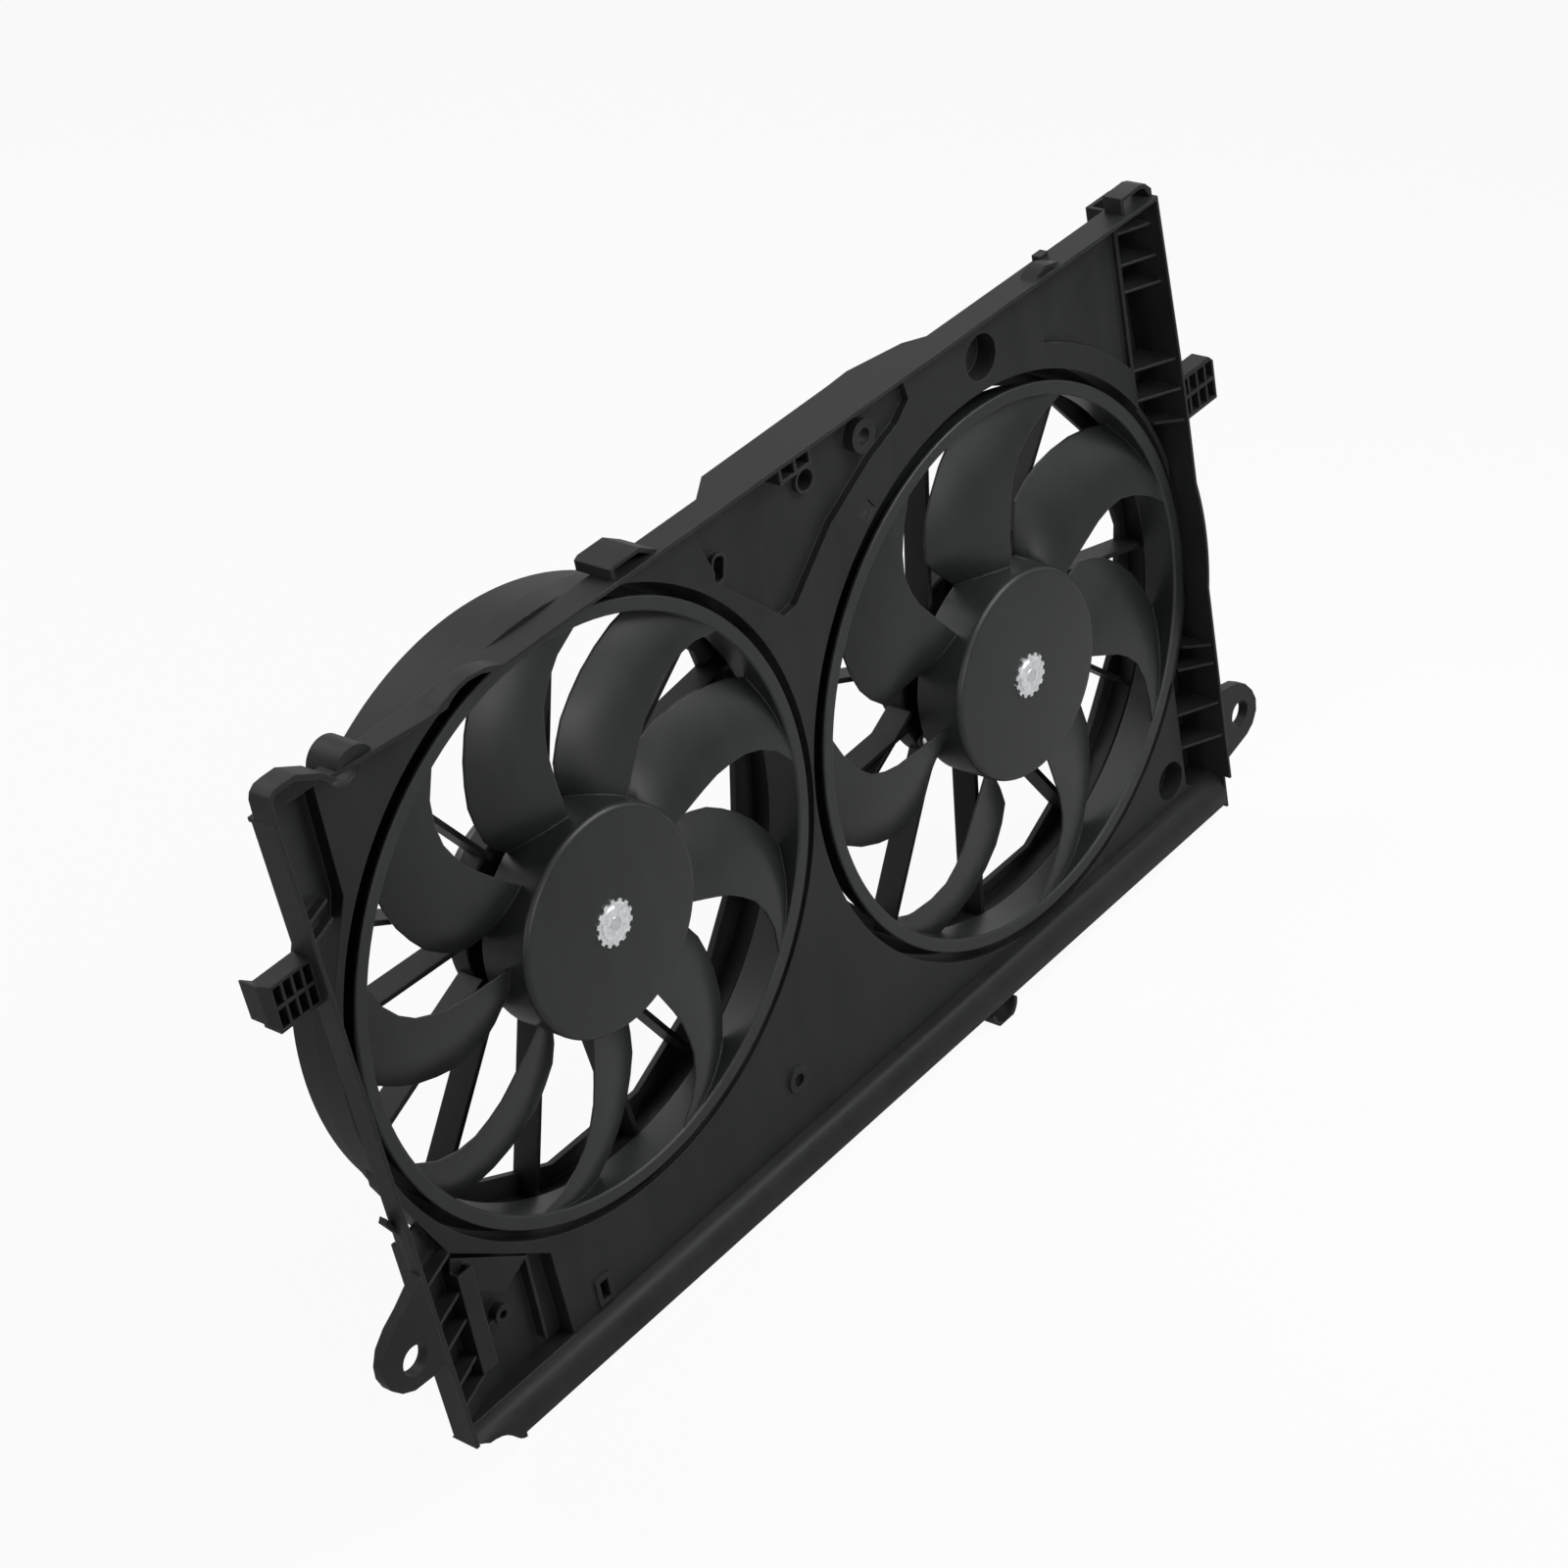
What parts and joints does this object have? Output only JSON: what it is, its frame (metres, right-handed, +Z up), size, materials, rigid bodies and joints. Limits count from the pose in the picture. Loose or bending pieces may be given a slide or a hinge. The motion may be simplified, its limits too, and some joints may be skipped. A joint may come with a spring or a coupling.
{
  "type": "dual radiator fan assembly",
  "caption": "Moulded shroud for a vehicle radiator with two offset round ducts, each with a banded axial fan on its own electric motor.",
  "frame": {"origin": "centre of the hole in the left lower mounting ear, on the plane of the shroud's sealing rim", "axes": "+X to the right seen from the radiator side, +Y rearward along both fan axes (away from the radiator), +Z up"},
  "size_m": [0.7797, 0.096, 0.448],
  "materials": {
    "shroud_plastic": "glass-filled polypropylene, fine moulded grain, low sheen",
    "fan_plastic": "glass-filled nylon, smooth satin",
    "zinc_plate": "bright zinc plate",
    "ground_steel": "ground",
    "core_steel": "stacked laminations",
    "copper": "enamelled copper",
    "can_steel": "drawn and zinc plated",
    "ferrite": "sintered",
    "card": "paper-filled phenolic",
    "carbon": "pressed carbon",
    "socket_plastic": "moulded, satin"
  },
  "bodies": {
    "shroud": {"shroud_panel": "shroud_plastic", "rim_top": "shroud_plastic", "rim_left": "shroud_plastic", "rim_right": "shroud_plastic", "bottom_sill": "shroud_plastic", "top_brackets": "shroud_plastic", "ear_left": "shroud_plastic", "ear_right": "shroud_plastic", "side_clip_left": "shroud_plastic", "side_clip_right": "shroud_plastic", "duct_left": "shroud_plastic", "duct_right": "shroud_plastic", "carrier_arms_left": "shroud_plastic", "carrier_arms_right": "shroud_plastic", "motor_ring_left": "shroud_plastic", "motor_ring_right": "shroud_plastic", "motor_can_left": "can_steel", "motor_can_right": "can_steel", "magnets_left": "ferrite", "magnets_right": "ferrite", "front_bearing_left": "ground_steel", "front_bearing_right": "ground_steel", "rear_bearing_left": "ground_steel", "rear_bearing_right": "ground_steel", "brush_card_left": "card", "brush_card_right": "card", "brushes_left": "carbon", "brushes_right": "carbon", "end_cap_left": "can_steel", "end_cap_right": "can_steel", "motor_screws_left": "zinc_plate", "motor_screws_right": "zinc_plate", "connector_left": "socket_plastic", "connector_right": "socket_plastic"},
    "fan_left_body": {"fan_left": "fan_plastic", "push_nut_left": "zinc_plate", "shaft_left": "ground_steel", "armature_left": "core_steel", "windings_left": "copper", "commutator_left": "copper"},
    "fan_right_body": {"fan_right": "fan_plastic", "push_nut_right": "zinc_plate", "shaft_right": "ground_steel", "armature_right": "core_steel", "windings_right": "copper", "commutator_right": "copper"}
  },
  "joints": [
    {"name": "fan_left_spin", "type": "hinge", "parent": "shroud", "child": "fan_left_body", "pos_m": [0.195, 0, 0.145], "axis": [0, 1, 0], "continuous": true},
    {"name": "fan_right_spin", "type": "hinge", "parent": "shroud", "child": "fan_right_body", "pos_m": [0.545, 0, 0.095], "axis": [0, 1, 0], "continuous": true}
  ]
}
